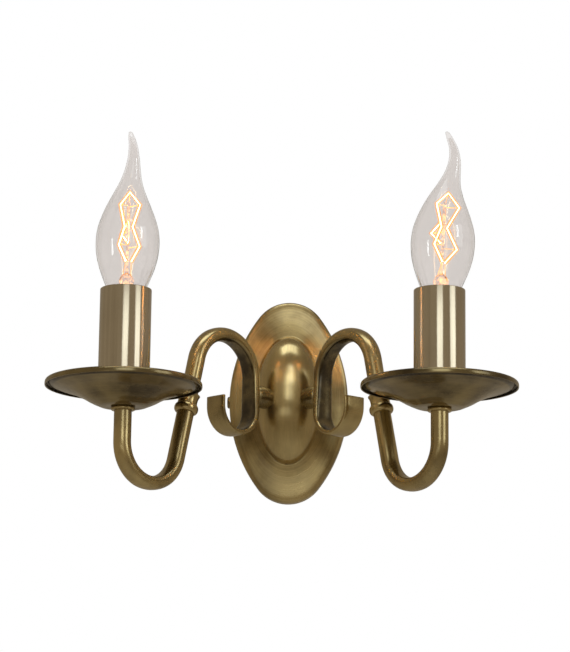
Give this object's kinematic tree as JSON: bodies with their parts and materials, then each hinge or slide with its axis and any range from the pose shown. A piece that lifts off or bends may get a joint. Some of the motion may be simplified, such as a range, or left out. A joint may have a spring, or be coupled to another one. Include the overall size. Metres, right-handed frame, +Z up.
{
  "type": "double arm wall sconce",
  "caption": "Wall sconce with an oval domed plate, two scrolled arms, drip pans and candle sleeves that hold bent-tip filament bulbs.",
  "frame": {"origin": "middle of the wall bracket's back face, which lies on the wall", "axes": "+X along the wall, +Y into the wall, +Z up"},
  "size_m": [0.255, 0.1516, 0.1962],
  "materials": {
    "aged_brass": "brushed and darkened, lacquered",
    "polished_brass": "polished, lightly aged",
    "dark_brass": "darkened",
    "plain_brass": "turned",
    "zinc_plated_steel": "zinc plated",
    "spring_steel": "plain",
    "cap_metal": "rolled, bright",
    "solder": "cast",
    "terminal_nylon": "moulded",
    "black_holder": "moulded",
    "black_insulator": "fired glass",
    "clear_glass": "clear, blown",
    "glowing_filament": "glowing",
    "live_sheath": "extruded",
    "neutral_sheath": "extruded",
    "earth_sheath": "extruded"
  },
  "bodies": {
    "fixture": {"back_plate": "aged_brass", "wall_bracket": "zinc_plated_steel", "terminal_block": "terminal_nylon", "terminal_tubes": "plain_brass", "terminal_screws": "zinc_plated_steel", "block_screw": "zinc_plated_steel", "earth_screw": "plain_brass", "earth_lead": "earth_sheath", "nipple_saddles": "zinc_plated_steel", "nipple_nuts": "plain_brass", "pan_nuts": "plain_brass", "arm_tube_left": "aged_brass", "arm_collar_left": "aged_brass", "arm_spacer_left": "aged_brass", "arm_nipple_left": "plain_brass", "drip_pan_left": "aged_brass", "seat_ring_left": "aged_brass", "holder_base_left": "black_holder", "holder_body_left": "black_holder", "holder_shell_left": "plain_brass", "holder_contact_left": "spring_steel", "candle_sleeve_left": "polished_brass", "live_lead_left": "live_sheath", "neutral_lead_left": "neutral_sheath", "arm_tube_right": "aged_brass", "arm_collar_right": "aged_brass", "arm_spacer_right": "aged_brass", "arm_nipple_right": "plain_brass", "drip_pan_right": "aged_brass", "seat_ring_right": "aged_brass", "holder_base_right": "black_holder", "holder_body_right": "black_holder", "holder_shell_right": "plain_brass", "holder_contact_right": "spring_steel", "candle_sleeve_right": "polished_brass", "live_lead_right": "live_sheath", "neutral_lead_right": "neutral_sheath"},
    "bulb_left": {"bulb_glass_left": "clear_glass", "bulb_stem_left": "clear_glass", "bulb_supports_left": "spring_steel", "bulb_filament_left": "glowing_filament", "bulb_cap_left": "cap_metal", "bulb_insulator_left": "black_insulator", "bulb_contact_left": "solder"},
    "screw_left": {"side_screw_left": "dark_brass"},
    "bulb_right": {"bulb_glass_right": "clear_glass", "bulb_stem_right": "clear_glass", "bulb_supports_right": "spring_steel", "bulb_filament_right": "glowing_filament", "bulb_cap_right": "cap_metal", "bulb_insulator_right": "black_insulator", "bulb_contact_right": "solder"},
    "screw_right": {"side_screw_right": "dark_brass"}
  },
  "joints": [
    {"name": "bulb_left_unscrew", "type": "slide", "parent": "fixture", "child": "bulb_left", "axis": [0, 0, 1], "range_m": [0, 0.036]},
    {"name": "side_screw_left_withdraw", "type": "slide", "parent": "fixture", "child": "screw_left", "axis": [-1, 0, 0], "range_m": [0, 0.007]},
    {"name": "bulb_right_unscrew", "type": "slide", "parent": "fixture", "child": "bulb_right", "axis": [0, 0, 1], "range_m": [0, 0.036]},
    {"name": "side_screw_right_withdraw", "type": "slide", "parent": "fixture", "child": "screw_right", "axis": [1, 0, 0], "range_m": [0, 0.007]}
  ]
}
